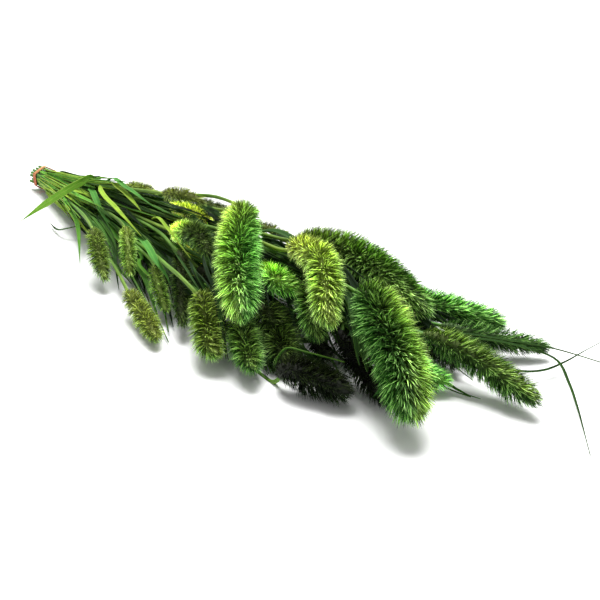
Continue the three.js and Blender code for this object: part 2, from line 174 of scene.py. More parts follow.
# Narrow blades that lie loose along the stems: how many, where on its stem each one starts as a
# share of it, its angle round the stem from the side towards the top, and its widths and lengths
LOOSE_BLADES = {
    "long": {"count": 150, "starts": (0.04, 0.2), "angles": (0.5, 3.7), "halves": (1.2, 2.4),
             "lengths": (80, 190), "seed": 11},
    "upper": {"count": 140, "starts": (0.1, 0.55), "angles": (0.3, 3.9), "halves": (1.0, 2.2),
              "lengths": (50, 120), "seed": 13},
}

# Dark blades that fill the room between neighbouring stalks, put there as painted shade: how many,
# where along the stalks they start, how far they sink below them, and their widths and lengths
INNER_BLADES = {"count": 444, "starts": (0.25, 0.85), "drops": (4, 13), "halves": (1.0, 2.2),
                "lengths": (50, 120), "seed": 12}
NEIGHBOURS = 4             # how many of the nearest stalks one may lie beside

# Stalks with an open gap between them that such blades close: dark ones, painted shade, among the
# far heads and towards the tip of the bunch, and greener ones that hang down on the near side, some
# of them in the shaded finishes
GAPS = {
    "gap": {"pairs": [(17, 21), (17, 30), (21, 30), (17, 20), (18, 17), (12, 16), (16, 18),
                      (12, 19), (13, 12), (14, 15), (15, 33), (20, 24), (20, 31), (18, 37),
                      (19, 35), (20, 32), (17, 32), (14, 12), (13, 14), (15, 37), (26, 37),
                      (32, 36), (26, 30), (17, 21), (17, 30), (20, 35), (20, 36)],
            "count": 270, "starts": (0.55, 0.92), "drops": (3, 9), "halves": (1.0, 2.0),
            "lengths": (40, 90), "seed": 14},
    "hanging": {"pairs": [(1, 2), (2, 5), (5, 4), (2, 4)],
                "count": 60, "starts": (0.45, 0.72), "drops": (3, 12), "halves": (0.8, 1.8),
                "lengths": (40, 75), "seed": 15},
    "tip": {"pairs": [(20, 23), (24, 23), (20, 24)],
            "count": 36, "starts": (0.6, 0.9), "drops": (3, 8), "halves": (1.0, 2.0),
            "lengths": (40, 80), "seed": 16},
}

# Rubber band
STRAND_RADIUS = 0.62 * MM
STRAND_SIDES = 10
STRAND_STEPS = 96
STRAND_HEIGHT, STRAND_WIDTH = 0.8, 1.15  # as shares of its radius: it is pressed flat
STRAND_LIFTS = (1.02, 0.3)  # how far a turn lies over the stems, and rises more in places

# Each turn's place along the bundle and its tilt, in mm, and where round it the turn is highest
BAND_TURNS = [(-2.1, 0.7, 0.3), (-0.8, -0.5, 1.9), (0.5, 0.6, 3.4), (1.9, -0.7, 5.0)]

# Where the camera stands, from the middle of the band at table height
CAMERA_FROM_BAND = Vector((0.741, -0.287, 0.191))
CAMERA_HEADING = math.radians(51.4)
CAMERA_PITCH = math.radians(21.7)
PHOTO_WIDTH = 600
PHOTO_FOCAL = 824          # focal length in pixels of the photo
SENSOR_WIDTH = 36

# The table and the light
TABLE_SIZE = 60
TABLE_GAP = 0.05 * MM
SKY_STRENGTH = 0.5
SUN_STRENGTH = 5.6
SUN_ANGLE = math.radians(40)
SUN_FROM = Vector((-0.4, 0.33, 1.15))


class Shading:
    """One material's node tree."""

    def __init__(self, name):
        self.material = bpy.data.materials.new(name)
        self.material.use_nodes = True
        self.tree = self.material.node_tree
        self.tree.nodes.clear()

    def add(self, kind, settings=None, inputs=None, output=0):
        """Adds a node, sets it up, fills or links its sockets, and returns one of its outputs."""
        node = self.tree.nodes.new(kind)
        for name, value in (settings or {}).items():
            setattr(node, name, value)
        for name, value in (inputs or {}).items():
            if isinstance(value, Signal):
                self.tree.links.new(value.socket, node.inputs[name])
            else:
                node.inputs[name].default_value = value
        return Signal(self, node.outputs[output])

    def attribute(self, name):
        return self.add("ShaderNodeAttribute", {"attribute_name": name}, output="Fac")

    def mix(self, a, b, share):
        """A colour between a and b."""
        inputs = {0: share, 6: as_colour(a), 7: as_colour(b)}
        return self.add("ShaderNodeMix", {"data_type": "RGBA"}, inputs, output=2)

    def scaled(self, colour, share):
        """A colour made darker or brighter."""
        return self.add("ShaderNodeVectorMath", {"operation": "SCALE"}, {0: colour, "Scale": share})

    def noise(self, vector, scale, detail=3.0):
        inputs = {"Vector": vector, "Scale": scale, "Detail": detail}
        return self.add("ShaderNodeTexNoise", None, inputs)

    def finish(self, colour, roughness, bump=None, bump_depth=0.0, **constants):
        """Ends the tree in its shader. The constants are set on the shader's own sockets."""
        inputs = {"Base Color": colour, "Roughness": roughness}
        inputs.update({name.replace("_", " ").title(): value for name, value in constants.items()})
        inputs = {name.replace("Ior", "IOR"): value for name, value in inputs.items()}
        if bump is not None:
            height = {"Height": bump, "Distance": bump_depth}
            inputs["Normal"] = self.add("ShaderNodeBump", None, height)
        shader = self.add("ShaderNodeBsdfPrincipled", None, inputs)
        output = self.tree.nodes.new("ShaderNodeOutputMaterial")
        self.tree.links.new(shader.socket, output.inputs["Surface"])
        return self.material


class Signal:
    """A socket that carries a value, with Python's operators for its maths."""

    def __init__(self, shading, socket):
        self.shading = shading
        self.socket = socket

    def math(self, operation, *others):
        values = dict(enumerate((self, *others)))
        return self.shading.add("ShaderNodeMath", {"operation": operation}, values)

    def __add__(self, other):
        return self.math("ADD", other)

    __radd__ = __add__

    def __sub__(self, other):
        return self.math("SUBTRACT", other)

    def __rsub__(self, other):
        return self * -1.0 + other

    def __mul__(self, other):
        return self.math("MULTIPLY", other)

    __rmul__ = __mul__

    def clamped(self):
        return self.math("MAXIMUM", 0.0).math("MINIMUM", 1.0)

    def between(self, low, high):
        """0 below low, 1 above high and a straight rise between them."""
        return ((self - low) * (1 / (high - low))).clamped()


def as_colour(value):
    return value if isinstance(value, Signal) else (*value, 1.0)


# Finishes. Colours are linear.
DEEP_GREEN = (0.026, 0.25, 0.012)
FRESH_GREEN = (0.31, 0.64, 0.14)
OLIVE = (0.26, 0.32, 0.02)
LIME = (0.60, 0.66, 0.10)
PAINTED_ROOT_SHADE = (0.006, 0.02, 0.002)
PAINTED_TIP_HIGHLIGHT = (0.66, 0.82, 0.46)
DULL = 0.35                # how bright the dullest bristles are
SPARKLE = 2.6              # how much brighter than that the brightest ones are


def bristle_finish():
    """Dyed bristles: painted shade at the root, brighter outwards, a paler painted highlight at
    some tips, all scaled by the head's painted light and shade.
    """
    shading = Shading("dyed_bristles")
    strand = shading.attribute("strand")
    tuft = shading.attribute("tint") + shading.attribute("own")
    tint = tuft.math("FRACT")
    warm = shading.attribute("warm")
    bright = shading.attribute("bright")
    green = shading.mix(DEEP_GREEN, FRESH_GREEN, tint * tint)
    yellow = shading.mix(OLIVE, LIME, tint)
    colour = shading.mix(green, yellow, warm)
    # Painted highlight: paler towards the tips
    colour = shading.mix(colour, PAINTED_TIP_HIGHLIGHT, strand.between(0.5, 1.2) * (warm * 0.2 + tint * 0.45))
    # Painted shade: darker towards the root, where the bristles shade each other
    colour = shading.mix(PAINTED_ROOT_SHADE, colour, strand.between(0.0, 0.7))
    # Painted light and shade: the head's brightness, times a random brightness for each bristle
    colour = shading.scaled(colour, bright * (tint * tint * tint * SPARKLE + DULL))
    return shading.finish(colour, 0.55 - 0.2 * tint, specular_ior_level=0.16)


def grain_finish():
    """The husks under the bristles: dull green to brown, with a mottle and fine bumps, darker or
    brighter with the head's painted light and shade.
    """
    shading = Shading("seed_husks")
    place = shading.add("ShaderNodeTexCoord", output="Object")
    mottle = shading.noise(place, 420.0)
    warm = shading.attribute("warm")
    colour = shading.mix((0.015, 0.05, 0.005), (0.08, 0.20, 0.015), mottle)
    colour = shading.mix(colour, (0.18, 0.18, 0.02), warm * 0.7)
    colour = shading.scaled(colour, shading.attribute("bright"))
    return shading.finish(colour, 0.8 - 0.15 * mottle, shading.noise(place, 1500.0), 0.3 * MM)


def stem_finish():
    """Grass stems: streaked lengthwise, yellower towards some heads, darker in their joints."""
    shading = Shading("dyed_stems")
    way = shading.add("ShaderNodeUVMap", {"uv_map": "way"})
    stretch = {"Location": (0, 0, 0), "Scale": (9.0, 26.0, 1.0)}
    streak = shading.noise(shading.add("ShaderNodeMapping", None, {"Vector": way, **stretch}), 1.0)
    patch = shading.noise(shading.add("ShaderNodeTexCoord", output="Object"), 60.0, 2.0)
    warm = shading.attribute("warm")
    joint = shading.attribute("joint")
    green = shading.mix((0.02, 0.09, 0.012), (0.12, 0.33, 0.04), streak.between(0.3, 0.7))
    yellow = shading.mix((0.08, 0.14, 0.012), (0.30, 0.42, 0.05), streak.between(0.3, 0.7))
    colour = shading.mix(green, yellow, (warm + patch.between(0.5, 0.8) * 0.3).clamped())
    colour = shading.mix(colour, (0.05, 0.09, 0.02), joint * 0.6)
    return shading.finish(colour, 0.45 + 0.25 * streak, streak, 0.15 * MM, specular_ior_level=0.25)


def blade_finish(name, dark, fresh, edge):
    """Leaf blades: parallel veins, a paler midrib, patches of fade and a yellower edge."""
    shading = Shading(name)
    way = shading.add("ShaderNodeUVMap", {"uv_map": "way"})
    across = shading.add("ShaderNodeSeparateXYZ", None, {0: way}, "X")
    veins = (across * 58.0).math("SINE") * 0.5 + 0.5
    patch = shading.noise(shading.add("ShaderNodeTexCoord", output="Object"), 95.0, 4.0)
    aside = (across - 0.5).math("ABSOLUTE")
    rib = 1 - aside.between(0.0, 0.07)
    rim = aside.between(0.36, 0.5)
    colour = shading.mix(dark, fresh, (patch.between(0.25, 0.75) * 0.8 + veins * 0.25).clamped())
    colour = shading.mix(colour, edge, (rib * 0.45 + rim * 0.5).clamped())
    return shading.finish(colour, 0.5 + 0.2 * patch, veins, 0.12 * MM, specular_ior_level=0.12)


def rubber_finish(low, high):
    """Tan rubber with a faint bloom, painted shade making it redder and darker below, and painted
    light making it paler on top.
    """
    shading = Shading("tan_rubber")
    place = shading.add("ShaderNodeTexCoord", output="Object")
    bloom = shading.noise(place, 300.0)
    height = shading.add("ShaderNodeSeparateXYZ", None, {0: place}, "Z")
    # Painted light and shade: redder and darker below, paler on top
    colour = shading.mix((0.52, 0.12, 0.04), (0.66, 0.38, 0.14), height.between(low, high))
    colour = shading.mix(colour, (0.70, 0.46, 0.24), bloom.between(0.55, 0.8) * 0.5)
    return shading.finish(colour, 0.4 + 0.3 * bloom, bloom, 0.1 * MM, specular_ior_level=0.5)


def table_finish():
    """A plain white surface."""
    shading = Shading("white_table")
    grain = shading.noise(shading.add("ShaderNodeTexCoord", output="Object"), 30.0)
    colour = shading.mix((0.93, 0.93, 0.93), (0.95, 0.95, 0.945), grain)
    return shading.finish(colour, 0.7, specular_ior_level=0.1)


def solid_layers(node):
    """The rings of a stalk's or blade's solid, from one end to the other, as arrays of points."""
    mesh = frame["nodes"][node].data
    points = np.array([vertex.co for vertex in mesh.vertices])
    cells = np.round(points / WELD).astype(int)
    keys, index = np.unique(cells, axis=0, return_inverse=True)
    index = index.reshape(-1)
    places = np.array([points[index == k].mean(0) for k in range(len(keys))])
    neighbours = [set() for _ in places]
    for polygon in mesh.polygons:
        corners = [index[k] for k in polygon.vertices]
        for a in corners:
            neighbours[a].update(corners)
    if node.startswith("stalk"):
        start = set(np.flatnonzero(places[:, 0] < places[:, 0].min() + FOOT_DEPTH))
    else:
        start = {foot_of_blade(places, neighbours)}
    layers = [start]
    seen = set(start)
    while True:
        following = set().union(*(neighbours[k] for k in layers[-1])) - seen
        if not following:
            return [places[sorted(layer)] for layer in layers]
        layers.append(following)
        seen |= following


def foot_of_blade(places, neighbours):
    """The end of a blade with the wider ring next to it."""
    far = int(np.argmax(np.linalg.norm(places - places.mean(0), axis=1)))
    other = int(np.argmax(np.linalg.norm(places - places[far], axis=1)))
    spread = {end: np.ptp(places[sorted(neighbours[end])], axis=0).sum() for end in (far, other)}
    return max(spread, key=spread.get)


def lengths_along(points):
    steps = np.linalg.norm(np.diff(points, axis=0), axis=1)
    return np.concatenate([[0.0], np.cumsum(steps)])


def smooth_values(places, values, at):
    """Values on a smooth curve through the given ones."""
    values = np.asarray(values, float)
    slopes = np.gradient(values, places, axis=0)
    span = np.clip(np.searchsorted(places, at, side="right") - 1, 0, len(places) - 2)
    width = places[span + 1] - places[span]
    share = (at - places[span]) / width
    if values.ndim == 2:
        share, width = share[:, None], width[:, None]
    squared, cubed = share**2, share**3
    return (
        (2 * cubed - 3 * squared + 1) * values[span]
        + (cubed - 2 * squared + share) * width * slopes[span]
        + (3 * squared - 2 * cubed) * values[span + 1]
        + (cubed - squared) * width * slopes[span + 1]
    )


def unit(vectors):
    return vectors / np.maximum(np.linalg.norm(vectors, axis=-1, keepdims=True), 1e-12)


def crossings(points, up=(0.0, 0.0, 1.0)):
    """The way forward, up and sideways at each point, carried along without twist."""
    forward = unit(np.gradient(points, axis=0))
    ups = np.empty_like(points)
    last = np.array(up, float)
    for k, way in enumerate(forward):
        last = unit(last - way * last.dot(way))
        ups[k] = last
    return forward, ups, np.cross(ups, forward)


def spokes(sides, ups, angles):
    """The directions at these angles round each point of a way, from its side towards its top."""
    across, over = np.cos(angles)[None, :, None], np.sin(angles)[None, :, None]
    return sides[:, None] * across + ups[:, None] * over


def rings_mesh(name, rings, attributes=None, uv=None):
    """A closed mesh over rings of points, with a cap at each end, and its values for each ring."""
    count, sides = rings.shape[:2]
    ends = np.array([rings[0].mean(0), rings[-1].mean(0)])
    points = np.concatenate([rings.reshape(-1, 3), ends])
    faces = []
    for k in range(count - 1):
        for side in range(sides):
            a, b = k * sides + side, k * sides + (side + 1) % sides
            faces.append((a, b, b + sides, a + sides))
    foot, tip = count * sides, count * sides + 1
    last = (count - 1) * sides
    for side in range(sides):
        following = (side + 1) % sides
        faces.append((foot, following, side))
        faces.append((tip, last + side, last + following))
    mesh = bpy.data.meshes.new(name)
    mesh.from_pydata(points.tolist(), [], faces)
    for key, values in (attributes or {}).items():
        values = np.asarray(values, float)
        full = np.concatenate([values.reshape(count * sides, -1), values[0, :1].reshape(1, -1),
                               values[-1, :1].reshape(1, -1)])
        vector = full.shape[1] == 3
        attribute = mesh.attributes.new(key, "FLOAT_VECTOR" if vector else "FLOAT", "POINT")
        attribute.data.foreach_set("vector" if vector else "value", full.reshape(-1))
    if uv is not None:
        across, along = uv
        places = np.stack([np.tile(across, count), np.repeat(along, sides)], 1)
        caps = [[across.mean(), along[0]], [across.mean(), along[-1]]]
        corners = np.empty(len(mesh.loops), int)
        mesh.loops.foreach_get("vertex_index", corners)
        placed = np.concatenate([places, caps])[corners]
        mesh.uv_layers.new(name="way").data.foreach_set("uv", placed.reshape(-1))
    for polygon in mesh.polygons:
        polygon.use_smooth = True
    mesh.update()
    return mesh


def add_piece(name, mesh, finishes, nodes=()):
    """A finished piece on the one body, with its materials and what it stands for."""
    keep_above_table(mesh)
    piece = bpy.data.objects.new(name, mesh)
    bpy.context.scene.collection.objects.link(piece)
    for finish in finishes:
        if mesh.materials.find(finish.name) < 0:
            mesh.materials.append(finish)
    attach(piece, "root")
    if nodes:
        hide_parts(*nodes)


def tuft_template():
    """Three bristles that spring from one point and bend over, one unit long along +Z."""
    rows = [(0.0, 1.0), (0.5, 0.8), (1.0, 0.0)]
    fan = [(0.0, 0.0, 1.0), (0.25, 0.6, 0.85), (-0.25, -0.5, 0.9)]
    points, faces, strand, own = [], [], [], []
    for lean, turn, length in fan:
        first = len(points)
        for height, width in rows:
            bend = BRISTLE_BEND * height**2
            centre = Vector((bend + lean * 0.6 * height, turn * 0.5 * height, height)) * length
            corners = 3 if width else 1
            for corner in range(corners):
                angle = 2 * math.pi * corner / 3
                out = Vector((math.cos(angle), math.sin(angle), 0)) * (BRISTLE_WIDTH / 2 * width)
                points.append(centre + out)
                strand.append(height)
                own.append(lean + turn)
        for corner in range(3):
            following = (corner + 1) % 3
            low, high = first + corner, first + following
            faces.append((low, high, high + 3, low + 3))
            faces.append((low + 3, high + 3, first + 6))
        faces.append((first + 2, first + 1, first))
    return template_object("tuft", points, faces, {"strand": strand, "own": own})


def grain_template():
    """A pointed husk, one unit long along +Z."""
    rows = [(0.0, 0.1), (0.25, 0.9), (0.6, 1.0), (0.88, 0.55)]
    sides = 5
    points, faces, strand = [], [], []
    for height, width in rows:
        for side in range(sides):
            angle = 2 * math.pi * side / sides
            radius = GRAIN_WIDTH / 2 * width
            points.append(Vector((math.cos(angle) * radius, math.sin(angle) * radius, height)))
            strand.append(height)
    tip = len(points)
    points.append(Vector((0, 0, 1)))
    strand.append(1.0)
    for row in range(len(rows) - 1):
        for side in range(sides):
            a, b = row * sides + side, row * sides + (side + 1) % sides
            faces.append((a, b, b + sides, a + sides))
    last = (len(rows) - 1) * sides
    faces += [(last + side, last + (side + 1) % sides, tip) for side in range(sides)]
    faces.append(tuple(reversed(range(sides))))
    return template_object("grain", points, faces, {"strand": strand})


def template_object(name, points, faces, attributes):
    mesh = bpy.data.meshes.new(name)
    mesh.from_pydata(points, [], faces)
    for key, values in attributes.items():
        mesh.attributes.new(key, "FLOAT", "POINT").data.foreach_set("value", values)
    return bpy.data.objects.new(name, mesh)


def covering_tree():
    """Geometry nodes that set a template all over a surface, leaning the way its attributes say."""
    tree = bpy.data.node_groups.new("covering", "GeometryNodeTree")
    sockets = {}

    def socket(name, kind, way="INPUT"):
        sockets[name] = tree.interface.new_socket(name=name, in_out=way, socket_type=kind)

    socket("Surface", "NodeSocketGeometry")
    socket("Covered", "NodeSocketGeometry", "OUTPUT")
    kinds = {"Template": "Object", "Finish": "Material", "Density": "Float", "Jitter": "Float",
             "Shortest": "Float", "Size": "Float", "Seed": "Int"}
    for name, kind in kinds.items():
        socket(name, "NodeSocket" + kind)
    given = tree.nodes.new("NodeGroupInput").outputs

    def add(kind, settings=None, inputs=None):
        node = tree.nodes.new(kind)
        for name, value in (settings or {}).items():
            setattr(node, name, value)
        for name, value in (inputs or {}).items():
            if isinstance(value, bpy.types.NodeSocket):
                tree.links.new(value, node.inputs[name])
            else:
                node.inputs[name].default_value = value
        return node.outputs

    def named(name, kind):
        settings = {"data_type": kind}
        return add("GeometryNodeInputNamedAttribute", settings, {"Name": name})["Attribute"]

    def vector_math(operation, *values):
        return add("ShaderNodeVectorMath", {"operation": operation}, dict(enumerate(values)))[0]

    def scaled(vector, share):
        return add("ShaderNodeVectorMath", {"operation": "SCALE"}, {0: vector, "Scale": share})[0]

    scatter = add("GeometryNodeDistributePointsOnFaces", None,
                  {"Mesh": given["Surface"], "Density": given["Density"], "Seed": given["Seed"]})
    shake = add("FunctionNodeRandomValue", {"data_type": "FLOAT_VECTOR"},
                {0: (-1.0, -1.0, -1.0), 1: (1.0, 1.0, 1.0), "Seed": given["Seed"]})[0]
    lean = vector_math("ADD", named("lean", "FLOAT_VECTOR"), scaled(shake, given["Jitter"]))
    turn = add("FunctionNodeAxesToRotation", {"primary_axis": "Z", "secondary_axis": "X"},
               {"Primary Axis": lean, "Secondary Axis": named("forward", "FLOAT_VECTOR")})[0]
    length = add("FunctionNodeRandomValue", {"data_type": "FLOAT"},
                 {2: given["Shortest"], 3: 1.0, "Seed": given["Seed"]})[1]
    length = add("ShaderNodeMath", {"operation": "MULTIPLY"}, {0: length, 1: given["Size"]})[0]
    size = scaled(named("reach", "FLOAT"), length)
    tint = add("FunctionNodeRandomValue", {"data_type": "FLOAT"}, {"Seed": 7})[1]
    points = add("GeometryNodeStoreNamedAttribute", {"data_type": "FLOAT", "domain": "POINT"},
                 {"Geometry": scatter["Points"], "Name": "tint", "Value": tint})[0]
    template = add("GeometryNodeObjectInfo", None, {"Object": given["Template"]})["Geometry"]
    placed = add("GeometryNodeInstanceOnPoints", None,
                 {"Points": points, "Instance": template, "Rotation": turn, "Scale": size})[0]
    real = add("GeometryNodeRealizeInstances", None, {"Geometry": placed})[0]
    done = add("GeometryNodeSetMaterial", None, {"Geometry": real, "Material": given["Finish"]})[0]
    output = tree.nodes.new("NodeGroupOutput")
    tree.links.new(done, output.inputs["Covered"])
    return tree, {name: item.identifier for name, item in sockets.items()}


def covered(surface, tree, identifiers, values):
    """The plain mesh that the tree makes on a surface."""
    holder = bpy.data.objects.new("surface", surface)
    bpy.context.scene.collection.objects.link(holder)
    modifier = holder.modifiers.new("covering", "NODES")
    modifier.node_group = tree
    for name, value in values.items():
        modifier[identifiers[name]] = value
    evaluated = holder.evaluated_get(bpy.context.evaluated_depsgraph_get())
    mesh = bpy.data.meshes.new_from_object(evaluated)
    holder.modifiers.clear()
    bpy.data.objects.remove(holder)
    return mesh


def joined(name, meshes):
    """One mesh from several, with their attributes and materials kept."""
    objects = []
    for mesh in meshes:
        piece = bpy.data.objects.new(name, mesh)
        bpy.context.scene.collection.objects.link(piece)
        objects.append(piece)
    with bpy.context.temp_override(active_object=objects[0], selected_editable_objects=objects):
        bpy.ops.object.join()
    mesh = objects[0].data
    bpy.data.objects.remove(objects[0])
    return mesh


def spindle_reach(at, radius, lean, lengths, radii):
    """How long a bristle is that starts on the core and ends on the head's outer form."""
    shortest, longest = REACH_LIMITS
    reach = 0.0
    while reach < longest:
        ahead = at + reach * math.cos(lean)
        out = radius + reach * math.sin(lean)
        if ahead > lengths[-1] or out > np.interp(ahead, lengths, radii):
            break
        reach += REACH_STEP
    return max(reach, shortest)


def head_core(name, number, points, radii):
    """The seeded core of a head, with what its bristles need to know stored on it."""
    lengths = lengths_along(points)
    total = lengths[-1]
    at = np.linspace(CORE_START, CORE_END, CORE_RINGS) * total
    centres = smooth_values(lengths, points, at)
    forward, ups, sides = crossings(centres)
    share = at / total
    foot, tip = CORE_ROUNDING
    ends = np.minimum(1, np.minimum(share / foot, (CORE_END + 0.02 - share) / tip)) ** 0.5
    core = CORE_SHARE * radii.max() * ends
    lean = np.radians(np.interp(share, *LEANS))
    stray = SHAGGY.get(number, STRAY)
    reach = [spindle_reach(a, c, l, lengths, radii * stray) for a, c, l in zip(at, core, lean)]
    angles = np.linspace(0, 2 * math.pi, CORE_SIDES, endpoint=False)
    out = spokes(sides, ups, angles)
    rings = centres[:, None] + out * core[:, None, None]
    ahead = np.broadcast_to(forward[:, None], out.shape)
    leaning = out * np.sin(lean)[:, None, None] + ahead * np.cos(lean)[:, None, None]
    foot_warm, tip_warm, bright = HEAD_TINTS[number]
    glow = np.interp(share, FOOT_FADE, [BRIGHT_FEET.get(number, 1), 1])
    warm = foot_warm + (tip_warm - foot_warm) * np.clip(share * TIP_COLOUR_RISE, 0, 1)
    # Painted light: each head's lit side is made yellower and brighter
    side, yellower, brighter = LIT_SIDES.get(number, USUAL_LIT_SIDE)
    facing = out @ np.array(side)
    warm = warm[:, None] + yellower * facing
    # bright holds the head's painted light and shade
    bright = bright * glow[:, None] * (1 + brighter * np.clip(facing, 0, 1) ** 2)
    patches = [[noise.noise(Vector(point) / PATCH) for point in ring] for ring in rings]
    reach = np.array(reach)[:, None] * (1 - UNEVEN / 2 + UNEVEN * np.array(patches))
    return rings_mesh(name, rings, {
        "lean": leaning,
        "forward": ahead,
        "reach": reach,
        "warm": np.clip(warm, 0, 1),
        "bright": bright,
    })


def make_head(number, points, radii, tree, identifiers, templates, finishes):
    """A head's core, grains and bristles as one piece."""
    name = f"head_{number:02d}"
    core = head_core(name, number, points, radii)
    core.materials.append(finishes["grain"])
    face_area = sum(polygon.area for polygon in core.polygons)
    size_mm2 = lengths_along(points)[-1] * radii.max() / MM**2
    thinning = 1.0
    bristles = covered(core, tree, identifiers, {
        "Template": templates["tuft"],
        "Finish": finishes["bristle"],
        "Density": TUFTS_PER_MM2 * size_mm2 * thinning / face_area,
        "Jitter": BRISTLE_JITTER,
        "Shortest": SHORTEST_BRISTLE,
        "Size": 1.0,
        "Seed": number,
    })
    grains = covered(core, tree, identifiers, {
        "Template": templates["grain"],
        "Finish": finishes["grain"],
        "Density": GRAINS_PER_MM2 * size_mm2 / face_area,
        "Jitter": GRAIN_JITTER,
        "Shortest": SHORTEST_GRAIN,
        "Size": GRAIN_LENGTH,
        "Seed": GRAIN_SEEDS + number,
    })
    mesh = joined(name, [core, grains, bristles])
    for extra in ("lean", "forward", "reach"):
        mesh.attributes.remove(mesh.attributes[extra])
    add_piece(name, mesh, [], [f"stalk_{number:02d}"])


def keep_above_table(mesh):
    """Presses down what would reach through the table."""
    points = np.empty(len(mesh.vertices) * 3)
    mesh.vertices.foreach_get("co", points)
    points[2::3] = np.maximum(points[2::3], TABLE_HEIGHT)
    mesh.vertices.foreach_set("co", points)
    mesh.update()


def make_stem(number, points, radii, warmth, finish):
    """A stem with its swollen nodes and the leaf sheaths wrapped round it."""
    lengths = lengths_along(points)
    total = lengths[-1]
    count = max(12, int(total / STEM_STEP))
    at = np.linspace(0, total, count)
    centres = smooth_values(lengths, points, at)
    radius = np.interp(at, lengths, radii)
    _, ups, sides = crossings(centres)
    joints = [total * (0.3 + 0.05 * (number % 4)), total * (0.66 + 0.04 * (number % 3))]
    joint = sum(np.exp(-(((at - place) / NODE_WIDTH) ** 2)) for place in joints)
    sheath_length = SHEATH_SHARE * total
    sheath = sum(((at > place) & (at < place + sheath_length)).astype(float) for place in joints)
    swell = 1 + NODE_SWELL * joint + SHEATH_SWELL * sheath
    angles = np.linspace(0, 2 * math.pi, STEM_SIDES, endpoint=False)
    rib = 1 + RIB_HEIGHT * np.cos(STEM_RIBS * angles + number)
    out = spokes(sides, ups, angles)
    rings = centres[:, None] + out * (radius * swell)[:, None, None] * rib[None, :, None]
    grid = np.ones((count, STEM_SIDES))
    warm = np.clip(warmth * np.interp(at / total, *STEM_WARMTH), 0, 1)
    uv = (np.linspace(0, 1, STEM_SIDES, endpoint=False), at)
    attributes = {"warm": grid * warm[:, None], "joint": grid * np.clip(joint, 0, 1)[:, None]}
    name = f"stem_{number:02d}"
    mesh = rings_mesh(name, rings, attributes, uv)
    add_piece(name, mesh, [finish], [f"stalk_{number:02d}"])


def blade_mesh(name, points, halves, ups, curl, wave, columns, step):
    """A leaf blade: a strip with a keeled midrib and raised edges, thin all over."""
    lengths = lengths_along(points)
    total = lengths[-1]
    count = max(10, int(total / step))
    at = np.linspace(0, total, count)
    centres = smooth_values(lengths, points, at)
    half = np.maximum(np.interp(at, lengths, halves), BLADE_POINT)
    half[0] = half[-1] = BLADE_POINT
    forward = unit(np.gradient(centres, axis=0))
    up = np.stack([np.interp(at, lengths, ups[:, k]) for k in range(3)], 1)
    up = unit(up - forward * (up * forward).sum(1, keepdims=True))
    side = np.cross(up, forward)
    across = np.linspace(-1, 1, columns)
    ripple = wave * np.sin(at * WAVE_RATE)[:, None] * np.abs(across)[None, :] ** 2
    lift = curl * np.abs(across)[None, :] ** 1.4 * half[:, None] * (1 + ripple)
    keel = -BLADE_KEEL * np.exp(-((across / KEEL_SHARE) ** 2))
    top = (centres[:, None] + side[:, None] * (across[None, :] * half[:, None])[..., None]
           + up[:, None] * (lift + keel[None, :] + BLADE_THICKNESS / 2)[..., None])
    under = top - up[:, None] * BLADE_THICKNESS
    rings = np.concatenate([top, under[:, ::-1]], axis=1)
    around = np.concatenate([(across + 1) / 2, (across[::-1] + 1) / 2])
    return rings_mesh(name, rings[:, ::-1], None, (around[::-1], at))


def make_blade(number, finish):
    """A leaf blade on the way of its solid, its upper side facing as the solid's does."""
    node = f"leaf_{number:02d}"
    layers = solid_layers(node)
    centres = np.array([layer.mean(0) for layer in layers])
    forward = unit(np.gradient(centres, axis=0))
    halves = np.zeros(len(layers))
    ups = np.zeros_like(centres)
    wide = []
    for k, layer in enumerate(layers):
        if len(layer) < 4:
            continue
        gaps = np.linalg.norm(layer[:, None] - layer[None], axis=2)
        a, b = np.unravel_index(np.argmax(gaps), gaps.shape)
        ribs = [corner for corner in range(len(layer)) if corner not in (a, b)]
        centres[k] = layer[ribs].mean(0)
        halves[k] = gaps[a, b] / 2
        up = np.cross(forward[k], layer[b] - layer[a])
        ups[k] = unit(up * np.sign(up.dot((layer[a] + layer[b]) / 2 - centres[k])))
        if halves[k] > WIDE_BLADE:
            wide.append(k)
    for k in range(len(layers)):
        if k not in wide:
            ups[k] = ups[min(wide, key=lambda other: abs(other - k))]
    halves *= THREADS.get(number, 1)
    name = f"blade_{number:02d}"
    mesh = blade_mesh(name, centres, halves, ups, BLADE_CURL, BLADE_WAVE, BLADE_COLUMNS, BLADE_STEP)
    add_piece(name, mesh, [finish], [node])


def loose_blade(way, half, ups):
    return blade_mesh("blade", way, half, ups, LOOSE_CURL, LOOSE_WAVE, LOOSE_COLUMNS, LOOSE_STEP)


def add_loose_pieces(name, meshes, finishes):
    """One piece of loose blades for each finish."""
    for kind, (blades, finish) in enumerate(zip(meshes, finishes), start=1):
        for blade in blades:
            blade.materials.append(finish)
        add_piece(f"{name}_blades_{kind}", joined("blades", blades), [])


